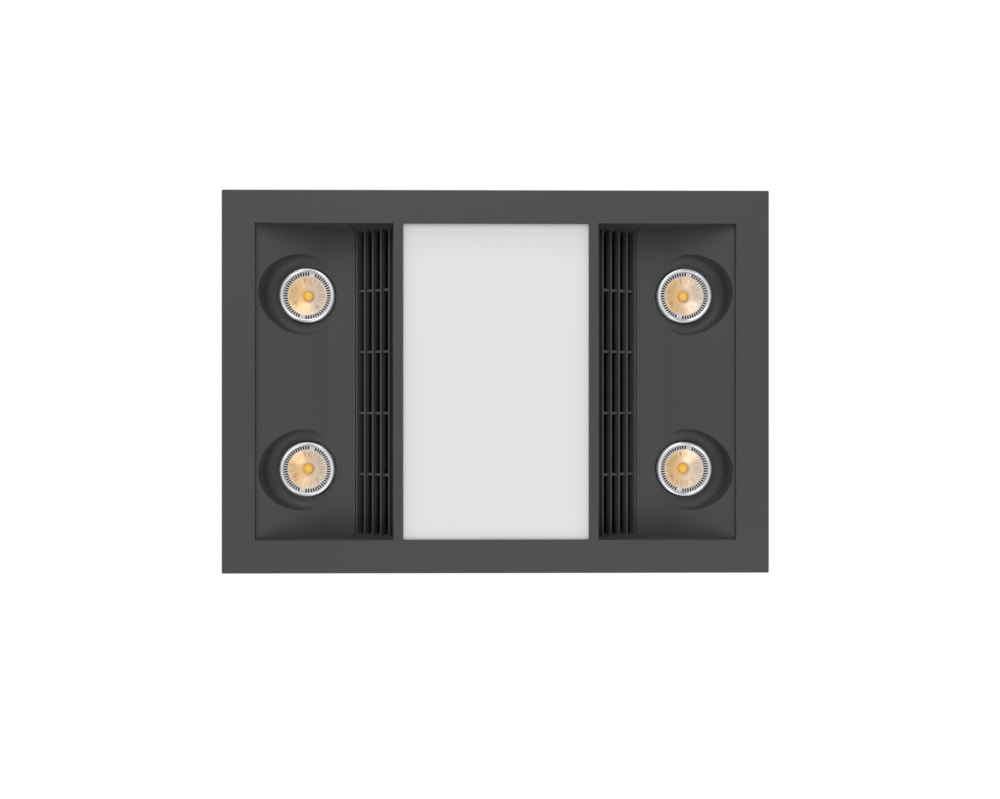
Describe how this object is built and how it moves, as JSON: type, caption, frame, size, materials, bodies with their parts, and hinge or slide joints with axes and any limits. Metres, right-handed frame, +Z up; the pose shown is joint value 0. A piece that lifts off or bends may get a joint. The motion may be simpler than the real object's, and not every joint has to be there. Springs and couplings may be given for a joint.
{
  "type": "bathroom ceiling heater",
  "caption": "Flush ceiling unit for a bathroom with sloped trays of reflector heat lamps, a central opal light panel, slotted air grilles and a ducted fan.",
  "frame": {"origin": "centre of the four ceiling screw holes, on the upper face of the housing flange, which is the ceiling's underside", "axes": "+Z up into the ceiling, with the room below; +X along the long side of the fascia; +Y towards the duct spigot"},
  "size_m": [0.5, 0.365, 0.2186],
  "materials": {
    "fascia_plastic": "fine satin moulded",
    "opal_plastic": "opal, softly glossy",
    "aluminium_pan": "mill finish",
    "circuit_board": "white solder mask",
    "screw_steel": "zinc plated",
    "spring_steel": "drawn wire",
    "galvanised_steel": "galvanised sheet with a faint spangle",
    "lamp_bezel": "bright satin",
    "lamp_reflector": "gold tinted facets",
    "lamp_glow": "yellow frosted",
    "ceramic": "unglazed ceramic",
    "fan_plastic": "moulded black",
    "spigot_plastic": "moulded white",
    "motor_paint": "black enamel",
    "rubber": "soft black",
    "brass": "turned",
    "box_plastic": "light grey moulded",
    "terminal_plastic": "natural nylon",
    "driver_case": "white moulded",
    "capacitor_case": "ivory moulded"
  },
  "bodies": {
    "housing": {"spring_brackets": "galvanised_steel", "lamp_bracket_left": "galvanised_steel", "lamp_bracket_right": "galvanised_steel", "housing_walls": "galvanised_steel", "housing_top": "galvanised_steel", "fan_scroll": "fan_plastic", "inlet_ring": "fan_plastic", "fan_motor": "motor_paint", "motor_grommets": "rubber", "motor_screws": "screw_steel", "duct_spigot": "spigot_plastic", "flap_pin": "screw_steel", "terminal_box": "box_plastic", "terminal_cover": "box_plastic", "terminal_block": "terminal_plastic", "cable_gland": "fan_plastic", "wire_grommet": "rubber", "led_driver": "driver_case", "capacitor": "capacitor_case", "capacitor_clip": "galvanised_steel", "case_screws": "screw_steel", "lamp_ring_1": "lamp_bezel", "lamp_reflector_1": "lamp_reflector", "lamp_capsule_1": "lamp_glow", "lamp_holder_1": "ceramic", "lamp_ring_2": "lamp_bezel", "lamp_reflector_2": "lamp_reflector", "lamp_capsule_2": "lamp_glow", "lamp_holder_2": "ceramic", "lamp_ring_3": "lamp_bezel", "lamp_reflector_3": "lamp_reflector", "lamp_capsule_3": "lamp_glow", "lamp_holder_3": "ceramic", "lamp_ring_4": "lamp_bezel", "lamp_reflector_4": "lamp_reflector", "lamp_capsule_4": "lamp_glow", "lamp_holder_4": "ceramic"},
    "fascia": {"fascia_frame": "fascia_plastic", "lamp_tray_left": "fascia_plastic", "lamp_tray_right": "fascia_plastic", "air_grille_left": "fascia_plastic", "air_grille_right": "fascia_plastic", "light_diffuser": "opal_plastic", "light_pan": "aluminium_pan", "led_strips": "circuit_board", "fascia_screws": "screw_steel", "fascia_springs": "spring_steel"},
    "fan_wheel": {"impeller": "galvanised_steel", "impeller_blades": "galvanised_steel", "impeller_shroud": "galvanised_steel", "impeller_nut": "brass", "motor_shaft": "screw_steel"},
    "left_flap": {"flap_left": "spigot_plastic", "flap_spring_left": "spring_steel"},
    "right_flap": {"flap_right": "spigot_plastic", "flap_spring_right": "spring_steel"}
  },
  "joints": [
    {"name": "fascia_drop", "type": "slide", "parent": "housing", "child": "fascia", "axis": [0, 0, -1], "range_m": [0, 0.04], "stiffness_N_per_m": 300, "springref_m": -0.12, "deforming": ["fascia_springs"]},
    {"name": "fan_spin", "type": "hinge", "parent": "housing", "child": "fan_wheel", "pos_m": [-0.014, -0.03, 0.12], "axis": [0, 0, 1], "continuous": true},
    {"name": "left_flap_swing", "type": "hinge", "parent": "housing", "child": "left_flap", "pos_m": [0.065, 0.1405, 0.111], "axis": [0, 0, -1], "range_deg": [0, 72], "stiffness_Nm_per_rad": 0.01, "springref_deg": -28.65},
    {"name": "right_flap_swing", "type": "hinge", "parent": "housing", "child": "right_flap", "pos_m": [0.065, 0.1405, 0.111], "axis": [0, 0, 1], "range_deg": [0, 72], "stiffness_Nm_per_rad": 0.01, "springref_deg": -28.65}
  ]
}
